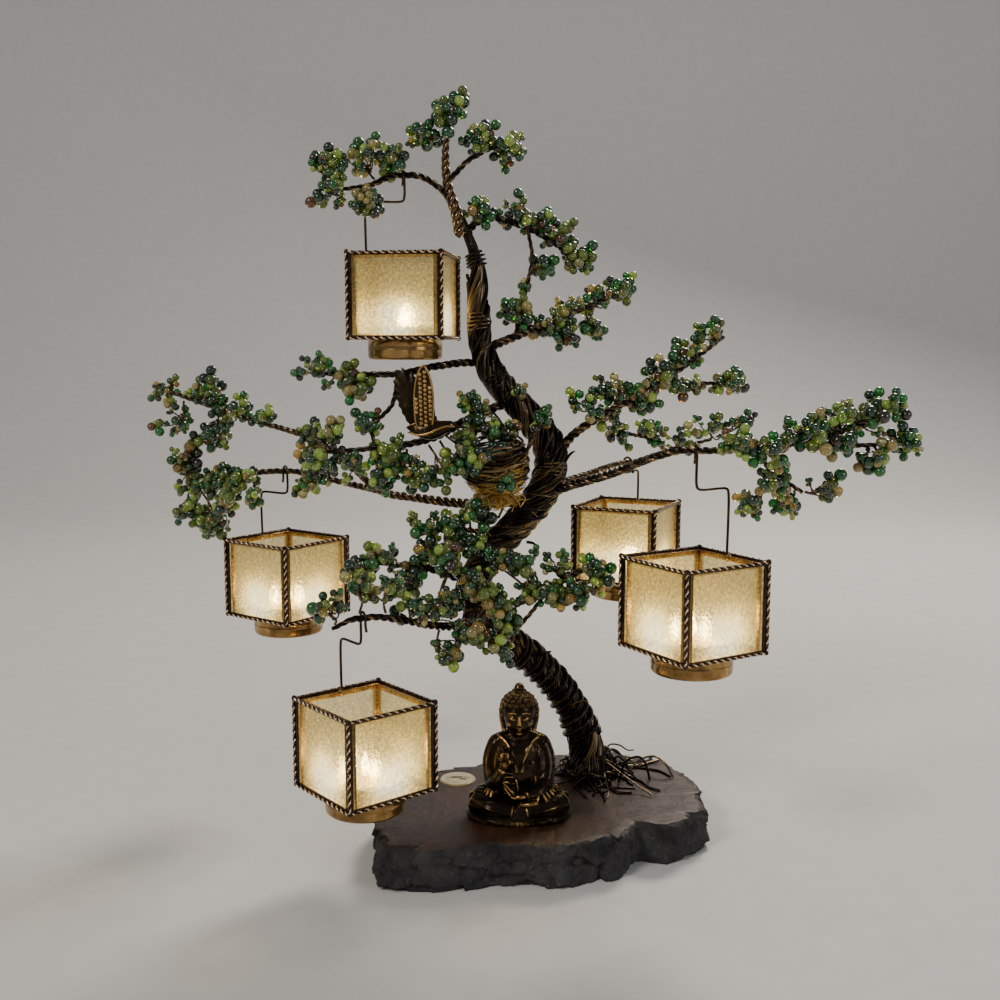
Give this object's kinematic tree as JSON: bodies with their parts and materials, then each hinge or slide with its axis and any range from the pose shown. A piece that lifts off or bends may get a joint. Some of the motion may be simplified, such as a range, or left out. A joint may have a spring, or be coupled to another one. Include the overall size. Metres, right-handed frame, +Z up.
{
  "type": "beaded wire bonsai with hanging lanterns",
  "caption": "Beaded wire bonsai tree on a rough stone slab, hung with square glass tea-light lanterns, with a seated figure, a bird and a nest.",
  "frame": {"origin": "centre of the slab's flat underside", "axes": "+Z up the tree, +X to the right and +Y away from the side the figure faces"},
  "size_m": [0.4167, 0.2004, 0.3973],
  "materials": {
    "stone": "rough split stone, its flat top stained dark red-brown",
    "plaque": "cream glaze with a dark leaf mark",
    "dark_wire": "dark annealed wire, twisted, bright on its worn edges",
    "bead_glass": "glossy glass beads in mixed greens, amber and clear",
    "bronze": "antique bronze, dark in the hollows",
    "straw_wire": "loosely wound copper and straw coloured wire",
    "brass": "antiqued brass sheet with rope trim",
    "pane_glass": "pebbled, lightly frosted glass",
    "tealight": "thin pressed cup with white wax"
  },
  "bodies": {
    "tree": {"stone_slab": "stone", "inlay_plaque": "plaque", "trunk_bundle": "dark_wire", "trunk_wrap": "dark_wire", "root_wires": "dark_wire", "bough_crown": "dark_wire", "beads_crown": "bead_glass", "bough_upper_right": "dark_wire", "beads_upper_right": "bead_glass", "bough_upper_left": "dark_wire", "beads_upper_left": "bead_glass", "bough_far_left": "dark_wire", "beads_far_left": "bead_glass", "bough_right": "dark_wire", "beads_right": "bead_glass", "bough_far_right": "dark_wire", "beads_far_right": "bead_glass", "bough_low_left": "dark_wire", "beads_low_left": "bead_glass", "bough_front": "dark_wire", "beads_front": "bead_glass", "seated_figure": "bronze", "nest": "straw_wire", "bird": "bronze"},
    "lantern_top": {"lantern_top_frame": "brass", "lantern_top_pane_1": "pane_glass", "lantern_top_pane_2": "pane_glass", "lantern_top_pane_3": "pane_glass", "lantern_top_pane_4": "pane_glass", "lantern_top_hook": "dark_wire"},
    "tealight_top": {"lantern_top_tealight": "tealight"},
    "lantern_left": {"lantern_left_frame": "brass", "lantern_left_pane_1": "pane_glass", "lantern_left_pane_2": "pane_glass", "lantern_left_pane_3": "pane_glass", "lantern_left_pane_4": "pane_glass", "lantern_left_hook": "dark_wire"},
    "tealight_left": {"lantern_left_tealight": "tealight"},
    "lantern_front": {"lantern_front_frame": "brass", "lantern_front_pane_1": "pane_glass", "lantern_front_pane_2": "pane_glass", "lantern_front_pane_3": "pane_glass", "lantern_front_pane_4": "pane_glass", "lantern_front_hook": "dark_wire"},
    "tealight_front": {"lantern_front_tealight": "tealight"},
    "lantern_right": {"lantern_right_frame": "brass", "lantern_right_pane_1": "pane_glass", "lantern_right_pane_2": "pane_glass", "lantern_right_pane_3": "pane_glass", "lantern_right_pane_4": "pane_glass", "lantern_right_hook": "dark_wire"},
    "tealight_right": {"lantern_right_tealight": "tealight"},
    "lantern_back": {"lantern_back_frame": "brass", "lantern_back_pane_1": "pane_glass", "lantern_back_pane_2": "pane_glass", "lantern_back_pane_3": "pane_glass", "lantern_back_pane_4": "pane_glass", "lantern_back_hook": "dark_wire"},
    "tealight_back": {"lantern_back_tealight": "tealight"}
  },
  "joints": [
    {"name": "swing_top", "type": "hinge", "parent": "tree", "child": "lantern_top", "pos_m": [-0.0745, 0.026, 0.357], "axis": [-0.9994, 0.0349, 0], "range_deg": [-15, 15]},
    {"name": "lift_top", "type": "slide", "parent": "lantern_top", "child": "tealight_top", "axis": [0, 0, 1], "range_m": [0, 0.05]},
    {"name": "swing_left", "type": "hinge", "parent": "tree", "child": "lantern_left", "pos_m": [-0.149, 0.066, 0.194], "axis": [-0.9848, 0.1736, 0], "range_deg": [-15, 15]},
    {"name": "lift_left", "type": "slide", "parent": "lantern_left", "child": "tealight_left", "axis": [0, 0, 1], "range_m": [0, 0.05]},
    {"name": "swing_front", "type": "hinge", "parent": "tree", "child": "lantern_front", "pos_m": [-0.09, -0.055, 0.1345], "axis": [-0.8829, -0.4695, 0], "range_deg": [-15, 15]},
    {"name": "lift_front", "type": "slide", "parent": "lantern_front", "child": "tealight_front", "axis": [0, 0, 1], "range_m": [0, 0.05]},
    {"name": "swing_right", "type": "hinge", "parent": "tree", "child": "lantern_right", "pos_m": [0.071, -0.056, 0.217], "axis": [0.9511, -0.309, 0], "range_deg": [-15, 15]},
    {"name": "lift_right", "type": "slide", "parent": "lantern_right", "child": "tealight_right", "axis": [0, 0, 1], "range_m": [0, 0.05]},
    {"name": "swing_back", "type": "hinge", "parent": "tree", "child": "lantern_back", "pos_m": [0.053, 0.077, 0.198], "axis": [0.7431, 0.6691, 0], "range_deg": [-15, 15]},
    {"name": "lift_back", "type": "slide", "parent": "lantern_back", "child": "tealight_back", "axis": [0, 0, 1], "range_m": [0, 0.042]}
  ]
}
